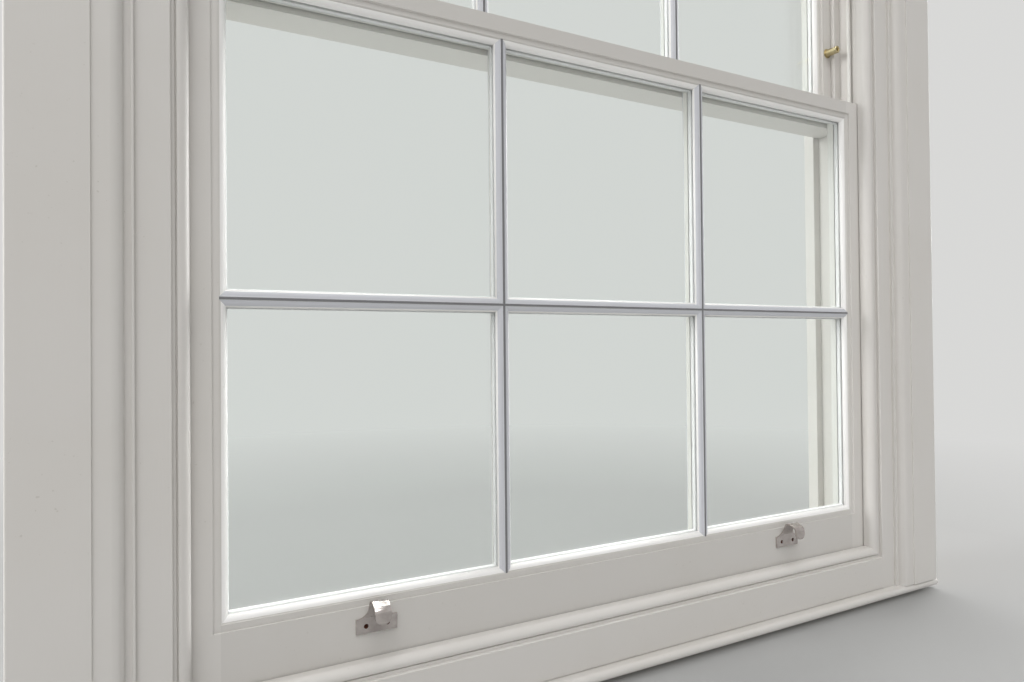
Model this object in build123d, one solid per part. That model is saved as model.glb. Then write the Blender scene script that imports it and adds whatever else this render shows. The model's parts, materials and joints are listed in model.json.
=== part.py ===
from build123d import *
import math
import os

# A box sash window, six panes over six. Millimetres. X runs to the right seen from the room, Y runs outdoors
# and Z up. The origin is on the sill's underside, in the middle of the width, midway between the two sashes.

# Panes and glazing bars
panes_across = 3
panes_up = 2
pane_width = 317.0
pane_height = 322.0
bar_fillet = 3.0
ovolo_width = 7.5
ovolo_quirk = 0.8
ovolo_end = 6.2
ovolo_bulge = (0.61, 0.3)
rebate_width = 6.5
rebate_depth = 9.5

# Sashes
sash_thickness = 40.0
sash_pitch = 48.0
stile_width = 40.0
bottom_rail_height = 77.7
meeting_rail_height = 26.4
top_rail_height = 50.0
strip_width = 7.0
strip_depth = 2.5
splay_middle = 4.0
splay_rise = 0.12
splay_gap = 1.0
rail_notch = 1.0

# Glazing
leaf_thickness = 4.0
cavity_width = 6.0
glass_edge_gap = 0.5
spacer_width = 7.0
putty_depth = 15.0

# Running clearances
sill_gap = 0.3
head_gap = 0.3
side_gap = 1.0
face_gap = 1.0

# Box frame
stile_board = 20.0
head_board = 20.0
inner_lining_width = 125.0
inner_lining_thickness = 22.5
outer_lining_width = 113.0
outer_lining_thickness = 19.0
back_lining_inset = 84.0
back_lining_thickness = 9.0
parting_bead_thickness = 7.2
parting_bead_groove = 6.0
channel_lip = 14.0
slip_thickness = 3.0
slip_width = 42.0
slip_clear_of_sill = 80.0
fixing_hole_radius = 3.5
fixing_hole_pitch = 700.0

# Staff bead, its lap on the jamb and its moulded front
bead_width = 16.0
bead_lap = 2.0
bead_straight = 7.0
bead_projection = 18.5
bead_nose = 7.5
bead_flat = 3.5
bead_quirk = 1.5
bead_quirk_depth = 2.5
bead_fillet_drop = 1.0
bead_bulge = (0.29, 0.71)

# Cover mould on the lining: edge, cove, ovolo, flat and the outer board that stands proud of it
mould_inset = 32.0
mould_width = 33.0
mould_edge = 4.0
mould_edge_fillet = 2.0
mould_cove = 6.0
mould_cove_depth = 2.0
mould_cove_bulge = (0.4, 0.3)
mould_ovolo = 10.0
mould_ovolo_bulge = (0.3, 0.3)
mould_projection = 12.5
mould_board_projection = 14.5
mould_board_round = 2.0

# Sill, apron and nosing
sill_height = 70.0
sill_depth = 151.0
sill_flat = 21.0
sill_slope = 8.0
sill_nose_radius = 8.0
throat_width = 8.0
throat_depth = 6.0
throat_inset = 16.0
nosing_base = 7.0
nosing_height = 12.0
nosing_reach = 37.0
nosing_overhang = 3.0
apron_quirk = 1.5

# Pocket piece in each pulley stile
pocket_base = 160.0
pocket_height = 380.0
pocket_bevel = 10.0
pocket_width = 36.0

# Axle pulleys
cord_radius = 3.25
cord_groove_gap = 0.15
cord_inset = 4.0
wheel_pitch_radius = 25.0
wheel_radius = 26.0
wheel_thickness = 9.0
wheel_web = 5.0
wheel_rim = 8.0
hub_radius = 8.0
pin_radius = 4.0
pin_running_gap = 0.05
pulley_below_head = 95.0
cheek_thickness = 2.0
cheek_gap = 0.5
cheek_radius = 30.0
faceplate_height = 125.0
faceplate_width = 25.0
faceplate_thickness = 2.5
faceplate_corner = 4.0
faceplate_slot_height = 44.0
faceplate_screw_pitch = 104.0

# Cords and weights
cord_slot_width = 13.0
cord_slot_depth = 10.0
lower_cord_slot = 170.0
lower_cord_tail = 120.0
upper_cord_slot = 300.0
upper_cord_tail = 250.0
weight_width = 48.0
weight_depth = 40.0
lower_weight_length = 622.0
upper_weight_length = 609.0
lower_weight_hang = 79.2
upper_weight_rise = 42.0
weight_bore_gap = 0.3
weight_bore_depth = 62.0
lower_cord_in_weight = 56.0
upper_cord_in_weight = 10.0
weight_corner = 6.0

# Hook lifts on the bottom rail
lift_inset = 156.5
lift_base = 35.7
lift_plate_width = 46.0
lift_plate_height = 17.5
lift_thickness = 2.5
lift_neck_width = 19.5
lift_tongue_width = 18.0
lift_reach = 26.5
lift_rise = 38.5
lift_crest = 10.0
lift_drop = 17.0
lift_bend = 6.0
lift_shoulder = 7.0
lift_shoulder_edge = 1.0
lift_shoulder_bulge = (0.28, 0.22)
lift_tongue_round = 0.7
lift_tongue_bend = 7.0
lift_screw_pitch = 24.0
lift_screw_height = 8.0
lift_screw_recess = 0.8

# Sash stops on the upper stiles
stop_inset = 18.0
stop_rise = 100.7
stop_projection = 21.0
stop_radius = 6.0
stop_round = 1.0
stop_socket_flats = 6.0
stop_socket_depth = 7.0
stop_shank_radius = 4.0
stop_barrel_radius = 7.0
stop_barrel_length = 20.0
stop_thread_gap = 2.0
stop_flange_radius = 8.0
stop_flange_thickness = 1.2

# Screws
screw_head_radius = 2.5
screw_shank_radius = 1.5
screw_length = 16.0
plate_screw_head_radius = 3.5
plate_screw_shank_radius = 1.8
screw_slot_width = 0.8
screw_slot_depth = 0.7

# How far a cut is drawn past the face that it leaves by
cut_past = 1.0

# Widths worked out from the panes
opening_half = (panes_across * pane_width + (panes_across - 1) * bar_fillet) / 2
opening_height = panes_up * pane_height + (panes_up - 1) * bar_fillet
sash_half = opening_half + stile_width
jamb = sash_half + side_gap

# Depths: faces of the sashes and of the box
lower_face = -(sash_pitch + sash_thickness) / 2
upper_face = lower_face + sash_pitch
lower_middle = lower_face + sash_thickness / 2
upper_middle = upper_face + sash_thickness / 2
room_side = lower_face - face_gap
street_side = upper_face + sash_thickness + face_gap
lining_front = room_side - inner_lining_thickness

# Heights of the arrises, sash edges and frame
lower_base = sill_height + sill_gap
lower_arris = lower_base + bottom_rail_height
lower_crown = lower_arris + opening_height
lower_top = lower_crown + meeting_rail_height
upper_base = lower_crown - ovolo_width
upper_arris = upper_base + meeting_rail_height
upper_crown = upper_arris + opening_height
upper_top = upper_crown + top_rail_height
soffit = upper_top + head_gap
trim_base = sill_height + bead_lap
nosing_top = nosing_base + nosing_height
lining_outer = jamb + bead_lap + inner_lining_width
lining_top = soffit + bead_lap + inner_lining_width
mould_board_front = lining_front - mould_board_projection
pulley_height = soffit - pulley_below_head
lower_weight_top = pulley_height - lower_weight_hang
upper_weight_base = sill_height + upper_weight_rise
fixing_hole_middle = (sill_height + soffit) / 2
wheel_inset = wheel_pitch_radius - cord_inset
weight_inset = 2 * wheel_pitch_radius - cord_inset
lift_offset = opening_half - lift_inset
lift_height = lower_base + bottom_rail_height - lift_base
stop_height = lower_top + stop_rise


def block(x0, x1, y0, y1, z0, z1):
    return Pos((x0 + x1) / 2, (y0 + y1) / 2, (z0 + z1) / 2) * Box(x1 - x0, y1 - y0, z1 - z0)


# A closed face from its corners; a step that holds two points is an arc through the first to the second.
def outline(start, *steps):
    edges = []
    here = start
    for step in steps:
        if isinstance(step[0], tuple):
            edges.append(ThreePointArc(here, step[0], step[1]))
            here = step[1]
        else:
            edges.append(Line(here, step))
            here = step
    edges.append(Line(here, start))
    return Face(Wire(edges))


def along_x(face, x0, x1):
    return Pos(x0, 0, 0) * extrude(Plane.YZ * face, amount=x1 - x0, dir=(1, 0, 0))


def along_y(face, y0, y1):
    return Pos(0, y0, 0) * extrude(Plane.XZ * face, amount=y1 - y0, dir=(0, 1, 0))


def along_z(face, z0, z1):
    return Pos(0, 0, z0) * extrude(face, amount=z1 - z0, dir=(0, 0, 1))


def mirrored(shape):
    return mirror(shape, about=Plane.YZ)


def rod_y(radius, y0, y1):
    return Pos(0, (y0 + y1) / 2, 0) * Rot(90, 0, 0) * Cylinder(radius, y1 - y0)


# A length of moulding along Z. Its section is drawn as (outward, Y); a mitred end grows by the outward distance.
def moulding(section, low, high, low_mitre=1, high_mitre=1):
    size = section.bounding_box()
    inner, outer = size.min.X, size.max.X
    reach = max(abs(inner), abs(outer))
    stick = along_z(section, low - reach, high + reach)
    ends = outline(
        (inner, low - low_mitre * inner),
        (outer, low - low_mitre * outer),
        (outer, high + high_mitre * outer),
        (inner, high + high_mitre * inner),
    )
    return stick & along_y(ends, size.min.Y - cut_past, size.max.Y + cut_past)


# The four mitred lengths round a rectangle: right, left, head and sill.
def moulding_ring(section, half, low, high):
    middle = (low + high) / 2
    upright = moulding(section, low - middle, high - middle)
    level = moulding(section, -half, half)
    return {
        "right": Pos(half, 0, middle) * upright,
        "left": Pos(-half, 0, middle) * Rot(0, 180, 0) * upright,
        "head": Pos(0, 0, high) * Rot(0, -90, 0) * level,
        "sill": Pos(0, 0, low) * Rot(0, 90, 0) * level,
    }


def sill_section(lift=0.0, below=0.0):
    slope_drop = (sill_depth - sill_flat) * math.tan(math.radians(sill_slope))
    return outline(
        (room_side, -below),
        (room_side + sill_depth, -below),
        (room_side + sill_depth, sill_height + lift - slope_drop),
        (room_side + sill_flat, sill_height + lift),
        (room_side, sill_height + lift),
    )


# Everything under the sill's top, used to fit the pieces that stand on it.
def sill_shadow(lift=0.0):
    return along_x(sill_section(lift, sill_height), -lining_outer, lining_outer)


def sill():
    end = jamb - channel_lip + outer_lining_width
    board = along_x(sill_section(), -end, end)
    nose = board.edges().filter_by(Axis.X).group_by(Axis.Y)[-1]
    board = fillet(nose, sill_nose_radius)
    throat = room_side + sill_depth - throat_inset
    return board - block(-end, end, throat - throat_width, throat, 0, throat_depth)


# Section of the moulded edge that every pane has on its four sides, outward from the pane's arris.
def pane_edge_section(face):
    strip = face + strip_depth
    lip = strip + ovolo_end
    bulge = (-ovolo_bulge[0] * ovolo_width, strip + ovolo_quirk + ovolo_bulge[1] * (ovolo_end - ovolo_quirk))
    tongue = ovolo_width - rebate_width
    return outline(
        (0, strip),
        (0, strip + ovolo_quirk),
        (bulge, (-ovolo_width, lip)),
        (-ovolo_width, face + rebate_depth),
        (-tongue, face + rebate_depth),
        (-tongue, face + sash_thickness),
        (0, face + sash_thickness),
    )


def pane_centres(arris):
    for row in range(panes_up):
        for column in range(panes_across):
            x = (column - (panes_across - 1) / 2) * (pane_width + bar_fillet)
            z = arris + pane_height / 2 + row * (pane_height + bar_fillet)
            yield column, row, x, z


# The wooden members of one sash, each with its share of the mitred pane edges.
def sash_members(face, base, arris, crown, top):
    ring = moulding_ring(pane_edge_section(face), pane_width / 2, -pane_height / 2, pane_height / 2)
    back = face + sash_thickness
    members = {
        "stile_left": block(-sash_half, -opening_half, face, back, base, top),
        "stile_right": block(opening_half, sash_half, face, back, base, top),
        "bottom": block(-opening_half, opening_half, face, back, base, arris),
        "top": block(-opening_half, opening_half, face, back, crown, top),
    }
    pocket = block(
        -opening_half - strip_width,
        opening_half + strip_width,
        face,
        face + strip_depth,
        arris - strip_width,
        crown + strip_width,
    )
    members = {name: shape - pocket for name, shape in members.items()}
    uprights = [
        block(x - bar_fillet / 2, x + bar_fillet / 2, face + strip_depth, back, arris, crown)
        for x in bar_places()
    ]
    crosses = {}
    for column, row, x, z in pane_centres(arris):
        edges = {side: Pos(x, 0, z) * shape for side, shape in ring.items()}
        if column == 0:
            members["stile_left"] += edges["left"]
        else:
            uprights[column - 1] += edges["left"]
        if column == panes_across - 1:
            members["stile_right"] += edges["right"]
        else:
            uprights[column] += edges["right"]
        if row == 0:
            members["bottom"] += edges["sill"]
        else:
            crosses[column, row - 1] += edges["sill"]
        if row == panes_up - 1:
            members["top"] += edges["head"]
        else:
            above = z + pane_height / 2
            half = pane_width / 2
            core = block(x - half, x + half, face + strip_depth, back, above, above + bar_fillet)
            crosses[column, row] = core + edges["head"]
    members["uprights"] = Compound(children=uprights)
    members["crosses"] = Compound(children=list(crosses.values()))
    return members


def bar_places():
    pitch = pane_width + bar_fillet
    return [(bar - (panes_across - 2) / 2) * pitch for bar in range(panes_across - 1)]


# The splayed faces where the two meeting rails close on each other.
def splay_y(z):
    return lower_face + sash_thickness + splay_middle + (z - (upper_base + lower_top) / 2) * splay_rise


def meeting_splays():
    end = jamb - channel_lip - rail_notch
    half_gap = splay_gap / 2
    lower_back = lower_face + sash_thickness
    lower = outline(
        (lower_back, lower_crown),
        (lower_back, lower_top),
        (splay_y(lower_top) - half_gap, lower_top),
        (splay_y(lower_crown) - half_gap, lower_crown),
    )
    upper = outline(
        (upper_face, upper_base),
        (upper_face, upper_arris - strip_width),
        (splay_y(upper_arris - strip_width) + half_gap, upper_arris - strip_width),
        (splay_y(upper_base) + half_gap, upper_base),
    )
    return along_x(lower, -end, end), along_x(upper, -end, end)


def cord_slots(middle, top, length):
    slot = block(
        sash_half - cord_slot_depth,
        sash_half + cut_past,
        middle - cord_slot_width / 2,
        middle + cord_slot_width / 2,
        top - length,
        top + cut_past,
    )
    return slot + mirrored(slot)


def glass_leaves(face, arris):
    half_width = pane_width / 2 - ovolo_width + rebate_width - glass_edge_gap
    half_height = pane_height / 2 - ovolo_width + rebate_width - glass_edge_gap
    leaves = []
    for _, _, x, z in pane_centres(arris):
        for depth in (rebate_depth, rebate_depth + leaf_thickness + cavity_width):
            front = face + depth
            leaves.append(
                block(x - half_width, x + half_width, front, front + leaf_thickness, z - half_height, z + half_height)
            )
    return Compound(children=leaves)


def spacers(face, arris):
    width = pane_width - 2 * (ovolo_width - rebate_width + glass_edge_gap)
    height = pane_height - 2 * (ovolo_width - rebate_width + glass_edge_gap)
    inside = Box(width - 2 * spacer_width, cavity_width, height - 2 * spacer_width)
    ring = Box(width, cavity_width, height) - inside
    middle = face + rebate_depth + leaf_thickness + cavity_width / 2
    return Compound(children=[Pos(x, middle, z) * ring for _, _, x, z in pane_centres(arris)])


def putty(face, arris):
    tongue = ovolo_width - rebate_width
    front = face + rebate_depth + 2 * leaf_thickness + cavity_width
    section = outline((-tongue, front), (-ovolo_width, front), (-tongue, front + putty_depth))
    ring = moulding_ring(section, pane_width / 2, -pane_height / 2, pane_height / 2)
    bead = ring["right"] + ring["left"] + ring["head"] + ring["sill"]
    return Compound(children=[Pos(x, 0, z) * bead for _, _, x, z in pane_centres(arris)])


# A slotted countersunk screw along +Y, the flat of its head at Y 0.
def screw(head_radius, shank_radius, length):
    section = outline(
        (0, 0),
        (head_radius, 0),
        (shank_radius, head_radius - shank_radius),
        (shank_radius, length - 2 * shank_radius),
        (0, length),
    )
    body = revolve(section, Axis.Y)
    slot = block(-head_radius, head_radius, 0, screw_slot_depth, -screw_slot_width / 2, screw_slot_width / 2)
    return body, body - slot


def lift_screw_places():
    for x in (-lift_offset, lift_offset):
        for side in (-1, 1):
            yield Pos(
                x + side * lift_screw_pitch / 2,
                lower_face - lift_thickness + lift_screw_recess,
                lift_height + lift_screw_height,
            )


def lift_screw():
    return screw(screw_head_radius, screw_shank_radius, screw_length)


# The strip that is bent into plate, neck and tongue, seen from the side as (outward to the room, height).
def lift_strip():
    half = lift_thickness / 2
    spine = FilletPolyline(
        (half, 0),
        (half, lift_plate_height + half),
        (lift_crest, lift_rise),
        (lift_reach - half, lift_rise - lift_tongue_bend),
        (lift_reach, lift_drop),
        radius=lift_bend,
    )
    side = Face(offset(spine, half, kind=Kind.ARC, side=Side.BOTH).wire())
    return along_x(mirrored(side), -lift_plate_width / 2, lift_plate_width / 2)


def hook_lift():
    neck = lift_neck_width / 2
    tongue = lift_tongue_width / 2
    plate = lift_plate_width / 2
    ear = lift_plate_height - lift_shoulder_edge
    top = lift_rise + lift_thickness
    curve_x = neck + (plate - neck) * lift_shoulder_bulge[0]
    curve_z = lift_plate_height + lift_shoulder * lift_shoulder_bulge[1]
    back = outline(
        (-plate, 0),
        (plate, 0),
        (plate, ear),
        ((curve_x, curve_z), (neck, lift_plate_height + lift_shoulder)),
        (neck, top),
        (-neck, top),
        (-neck, lift_plate_height + lift_shoulder),
        ((-curve_x, curve_z), (-plate, ear)),
    )
    tip = lift_drop + tongue * lift_tongue_round
    front = outline(
        (-tongue, top),
        (-tongue, tip),
        ((0, lift_drop - lift_thickness / 2), (tongue, tip)),
        (tongue, top),
    )
    strip = lift_strip()
    near = strip & along_y(back, -lift_crest, 0)
    far = strip & along_y(front, -lift_reach - lift_thickness, -lift_crest)
    lift = near + far
    bore, _ = lift_screw()
    hole = bore + rod_y(screw_head_radius, -lift_screw_recess, 0)
    for side in (-1, 1):
        place = (side * lift_screw_pitch / 2, lift_screw_recess - lift_thickness, lift_screw_height)
        lift -= Pos(*place) * hole
    return lift


def stop_places():
    for side in (-1, 1):
        yield Pos(side * (opening_half + stop_inset), upper_face, stop_height)


def stop_receiver():
    flange = rod_y(stop_flange_radius, -stop_flange_thickness, 0)
    barrel = rod_y(stop_barrel_radius, 0, stop_barrel_length)
    return flange + barrel - rod_y(stop_shank_radius, -stop_flange_thickness, stop_barrel_length)


def stop_stud():
    head = rod_y(stop_radius, -stop_projection, -stop_flange_thickness)
    head = fillet(head.edges().group_by(Axis.Y)[0], stop_round)
    shank = rod_y(stop_shank_radius, -stop_flange_thickness, stop_barrel_length - stop_thread_gap)
    hexagon = RegularPolygon(stop_socket_flats / 2, 6, major_radius=False)
    socket = along_y(hexagon.face(), -stop_projection, stop_socket_depth - stop_projection)
    return head + shank - socket


def lower_sash():
    members = sash_members(lower_face, sill_height - sill_slope, lower_arris, lower_crown, lower_top)
    members["top"] += meeting_splays()[0]
    shadow = sill_shadow(sill_gap)
    slots = cord_slots(lower_middle, lower_top, lower_cord_slot)
    bore, solid = lift_screw()
    for place in lift_screw_places():
        members["bottom"] -= place * bore
    lift = hook_lift()
    return {
        "lower_stile_left": members["stile_left"] - shadow - slots,
        "lower_stile_right": members["stile_right"] - shadow - slots,
        "lower_bottom_rail": members["bottom"] - shadow,
        "lower_meeting_rail": members["top"],
        "lower_upright_bars": members["uprights"],
        "lower_cross_bars": members["crosses"],
        "lower_glass": glass_leaves(lower_face, lower_arris),
        "lower_spacers": spacers(lower_face, lower_arris),
        "lower_putty": putty(lower_face, lower_arris),
        "hook_lift_left": Pos(-lift_offset, lower_face, lift_height) * lift,
        "hook_lift_right": Pos(lift_offset, lower_face, lift_height) * lift,
        "lift_screws": Compound(children=[place * solid for place in lift_screw_places()]),
    }


def upper_sash():
    members = sash_members(upper_face, upper_base, upper_arris, upper_crown, upper_top)
    members["bottom"] += meeting_splays()[1]
    slots = cord_slots(upper_middle, upper_top, upper_cord_slot)
    for place in stop_places():
        slots += place * rod_y(stop_barrel_radius, 0, stop_barrel_length)
    return {
        "upper_stile_left": members["stile_left"] - slots,
        "upper_stile_right": members["stile_right"] - slots,
        "upper_meeting_rail": members["bottom"],
        "upper_top_rail": members["top"],
        "upper_bars": Compound(children=[*members["uprights"].solids(), *members["crosses"].solids()]),
        "upper_glass": glass_leaves(upper_face, upper_arris),
        "upper_spacers": spacers(upper_face, upper_arris),
        "upper_putty": putty(upper_face, upper_arris),
        "stop_receivers": Compound(children=[place * stop_receiver() for place in stop_places()]),
        "stop_studs": Compound(children=[place * stop_stud() for place in stop_places()]),
    }


# Pulleys are drawn about their own axle, outward along +X, for the right-hand box.
def wheel():
    half = wheel_thickness / 2
    web = wheel_web / 2
    groove = cord_radius + cord_groove_gap
    lip = math.sqrt(groove**2 - (wheel_radius - wheel_pitch_radius) ** 2)
    bore = pin_radius + pin_running_gap
    section = outline(
        (bore, -half),
        (hub_radius, -half),
        (hub_radius, -web),
        (wheel_radius - wheel_rim, -web),
        (wheel_radius - wheel_rim, -half),
        (wheel_radius, -half),
        (wheel_radius, -lip),
        ((wheel_pitch_radius - groove, 0), (wheel_radius, lip)),
        (wheel_radius, half),
        (wheel_radius - wheel_rim, half),
        (wheel_radius - wheel_rim, web),
        (hub_radius, web),
        (hub_radius, half),
        (bore, half),
    )
    return revolve(section, Axis.Y)


def faceplate_blank():
    face = RectangleRounded(faceplate_width, faceplate_height, faceplate_corner)
    return along_x(face.face(), -wheel_inset, -wheel_inset + faceplate_thickness)


def faceplate_screw_places():
    for side in (-1, 1):
        yield Pos(-wheel_inset, 0, side * faceplate_screw_pitch / 2) * Rot(0, 0, -90)


def plate_screw():
    return screw(plate_screw_head_radius, plate_screw_shank_radius, screw_length)


def cheek_offset():
    return wheel_thickness / 2 + cheek_gap


def pulley_case():
    slot = cheek_offset()
    back = -wheel_inset + faceplate_thickness
    behind_plate = Pos((back + cheek_radius) / 2, 0) * Rectangle(cheek_radius - back, 2 * cheek_radius)
    cheek = Circle(cheek_radius) & behind_plate
    cheek -= Circle(pin_radius)
    case = faceplate_blank() - block(
        -wheel_inset, back, -slot, slot, -faceplate_slot_height / 2, faceplate_slot_height / 2
    )
    for low in (slot, -slot - cheek_thickness):
        case += along_y(cheek.face(), low, low + cheek_thickness)
    bore, _ = plate_screw()
    for place in faceplate_screw_places():
        case -= place * bore
    return case


def case_mortise():
    half = cheek_offset() + cheek_thickness
    through = stile_board - wheel_inset
    return faceplate_blank() + block(-wheel_inset, through, -half, half, -cheek_radius, cheek_radius)


def pulley_pin():
    half = cheek_offset() + cheek_thickness
    return rod_y(pin_radius, -half, half)


def pulley_places():
    return [Pos(jamb + wheel_inset, y, pulley_height) for y in (lower_middle, upper_middle)]


def both_sides(shapes):
    return Compound(children=[*shapes, *[mirrored(shape) for shape in shapes]])


# The route of a cord from its end in the sash's edge, over the wheel, down to its end in the weight.
def cord(middle, sash_end, weight_end):
    near = (jamb - cord_inset, middle, pulley_height)
    far = (jamb + weight_inset, middle, pulley_height)
    crest = (jamb + wheel_inset, middle, pulley_height + wheel_pitch_radius)
    up = Line((near[0], middle, sash_end), near)
    over = ThreePointArc(near, crest, far)
    down = Line(far, (far[0], middle, weight_end))
    route = Wire([up, over, down])
    start = Plane(origin=(near[0], middle, sash_end), z_dir=(0, 0, 1))
    tube = sweep(start * Circle(cord_radius), path=route)
    section = math.pi * cord_radius**2
    print("cord length", round(route.length, 1), "radius over the wheel", wheel_pitch_radius)
    print("cord volume", round(tube.volume), "section by length", round(section * route.length))
    return tube


def cords():
    lower_end = lower_weight_top - lower_cord_in_weight
    upper_end = upper_weight_base + upper_weight_length - upper_cord_in_weight
    lower = cord(lower_middle, lower_top - lower_cord_tail, lower_end)
    upper = cord(upper_middle, upper_top - upper_cord_tail, upper_end)
    return both_sides([lower, upper])


def weight(middle, base, length):
    bar = block(
        jamb + weight_inset - weight_width / 2,
        jamb + weight_inset + weight_width / 2,
        middle - weight_depth / 2,
        middle + weight_depth / 2,
        base,
        base + length,
    )
    bar = fillet(bar.edges().filter_by(Axis.Z), weight_corner)
    bore = Cylinder(cord_radius + weight_bore_gap, weight_bore_depth)
    return bar - Pos(jamb + weight_inset, middle, base + length - weight_bore_depth / 2) * bore


def pocket_cut():
    low, high = pocket_base, pocket_base + pocket_height
    face = outline(
        (jamb, low),
        (jamb, high),
        (jamb + stile_board, high + pocket_bevel),
        (jamb + stile_board, low + pocket_bevel),
    )
    return along_y(face, lower_middle - pocket_width / 2, lower_middle + pocket_width / 2)


def pulley_stile():
    board = block(jamb, jamb + stile_board, room_side, street_side, 0, soffit)
    half = parting_bead_thickness / 2
    board -= block(jamb, jamb + parting_bead_groove, -half, half, 0, soffit)
    board -= pocket_cut()
    bore, _ = plate_screw()
    for place in pulley_places():
        board -= place * case_mortise()
        for seat in faceplate_screw_places():
            board -= place * seat * bore
    return board - sill_shadow()


def back_lining():
    x = jamb + back_lining_inset
    board = block(x, x + back_lining_thickness, room_side, street_side, 0, soffit + head_board)
    board -= sill_shadow()
    for step in (-1, 1):
        height = fixing_hole_middle + step * fixing_hole_pitch / 2
        hole = Rot(0, 90, 0) * Cylinder(fixing_hole_radius, 4 * back_lining_thickness)
        board -= Pos(x, 0, height) * hole
    return board


def head():
    end = jamb + back_lining_inset
    board = block(-end, end, room_side, street_side, soffit, soffit + head_board)
    half = parting_bead_thickness / 2
    return board - block(-jamb, jamb, -half, half, soffit, soffit + parting_bead_groove)


def linings():
    front, back = street_side, street_side + outer_lining_thickness
    inner_edge = jamb - channel_lip
    outer_edge = inner_edge + outer_lining_width
    outer_top = soffit - channel_lip + outer_lining_width
    outer_side = block(inner_edge, outer_edge, front, back, 0, outer_top) - sill_shadow()
    inner_side = block(jamb + bead_lap, lining_outer, lining_front, room_side, nosing_top, lining_top)
    span = jamb + bead_lap
    return {
        "inner_lining_right": inner_side,
        "inner_lining_left": mirrored(inner_side),
        "inner_lining_head": block(-span, span, lining_front, room_side, soffit + bead_lap, lining_top),
        "outer_lining_right": outer_side,
        "outer_lining_left": mirrored(outer_side),
        "outer_lining_head": block(-inner_edge, inner_edge, front, back, soffit - channel_lip, outer_top),
    }


def parting_beads():
    half = parting_bead_thickness / 2
    inner, outer = jamb - channel_lip, jamb + parting_bead_groove
    side = block(inner, outer, -half, half, 0, soffit) - sill_shadow()
    return {
        "parting_bead_right": side,
        "parting_bead_left": mirrored(side),
        "parting_bead_head": block(-inner, inner, -half, half, soffit - channel_lip, soffit + parting_bead_groove),
    }


def parting_slips():
    x = jamb + weight_inset
    slip = block(
        x - slip_width / 2,
        x + slip_width / 2,
        -slip_thickness / 2,
        slip_thickness / 2,
        sill_height + slip_clear_of_sill,
        soffit,
    )
    return both_sides([slip])


# Staff bead section: straight edge to the sash, rounded nose, quirk and outer fillet.
def bead_section():
    inner = -channel_lip
    front = room_side - bead_projection
    nose = inner + bead_nose
    flat = nose + bead_flat
    quirk = flat + bead_quirk
    straight = room_side - bead_straight
    bulge = (inner + bead_bulge[0] * bead_nose, straight - bead_bulge[1] * (bead_projection - bead_straight))
    return outline(
        (inner, room_side),
        (inner, straight),
        (bulge, (nose, front)),
        (flat, front),
        (flat, front + bead_quirk_depth),
        (quirk, front + bead_quirk_depth + bead_fillet_drop),
        (quirk, front + bead_fillet_drop),
        (inner + bead_width, front + bead_fillet_drop),
        (inner + bead_width, room_side),
    )


# Cover mould section: edge fillet, cove, ovolo and flat, then the proud board with its outer corner rounded.
def mould_section():
    edge = lining_front - mould_edge
    front = lining_front - mould_projection
    fillet_end = mould_inset + mould_edge_fillet
    cove = fillet_end + mould_cove
    ovolo = cove + mould_ovolo
    hollow = edge + mould_cove_depth
    cove_bulge = (fillet_end + mould_cove_bulge[0] * mould_cove, hollow - mould_cove_bulge[1])
    ovolo_x = cove + mould_ovolo_bulge[0] * mould_ovolo
    ovolo_y = front + mould_ovolo_bulge[1] * (hollow - front)
    step = mould_inset + mould_width
    outer = bead_lap + inner_lining_width
    round_end = outer - mould_board_round
    inward = mould_board_round * (1 - math.sqrt(0.5))
    return outline(
        (mould_inset, lining_front),
        (mould_inset, edge),
        (fillet_end, edge),
        (cove_bulge, (cove, hollow)),
        ((ovolo_x, ovolo_y), (ovolo, front)),
        (step, front),
        (step, mould_board_front),
        (round_end, mould_board_front),
        ((outer - inward, mould_board_front + inward), (outer, mould_board_front + mould_board_round)),
        (outer, lining_front),
    )


def cover_moulds():
    section = mould_section()
    side = Pos(jamb, 0, 0) * moulding(section, nosing_top, soffit, low_mitre=0)
    return {
        "cover_mould_right": side,
        "cover_mould_left": mirrored(side),
        "cover_mould_head": Pos(0, 0, soffit) * Rot(0, -90, 0) * moulding(section, -jamb, jamb),
    }


def apron():
    span = jamb + bead_lap
    board = block(-span, span, lining_front, room_side, nosing_top, sill_height)
    quirk = block(-span, span, lining_front, lining_front + apron_quirk, nosing_top, nosing_top + apron_quirk)
    return board - quirk


def nosing():
    radius = nosing_height / 2
    front = room_side - nosing_reach
    middle = nosing_base + radius
    end = lining_outer + nosing_overhang
    section = outline(
        (room_side, nosing_base),
        (room_side, nosing_top),
        (front + radius, nosing_top),
        ((front, middle), (front + radius, nosing_base)),
    )
    return along_x(section, -end, end)


def box_frame():
    stile = pulley_stile()
    cases = [place * pulley_case() for place in pulley_places()]
    pins = [place * pulley_pin() for place in pulley_places()]
    _, fixing = plate_screw()
    screws = [place * seat * fixing for place in pulley_places() for seat in faceplate_screw_places()]
    beads = moulding_ring(bead_section(), jamb, trim_base, soffit)
    return {
        "sill": sill(),
        "head_board": head(),
        "pulley_stile_right": stile,
        "pulley_stile_left": mirrored(stile),
        "pocket_pieces": both_sides([pocket_cut()]),
        "back_linings": both_sides([back_lining()]),
        "parting_slips": parting_slips(),
        "apron": apron(),
        "nosing": nosing(),
        "pulley_cases": both_sides(cases),
        "pulley_pins": both_sides(pins),
        "pulley_screws": both_sides(screws),
        "sash_cords": cords(),
        **{"staff_bead_" + side: shape for side, shape in beads.items()},
        **linings(),
        **parting_beads(),
        **cover_moulds(),
    }


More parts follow.
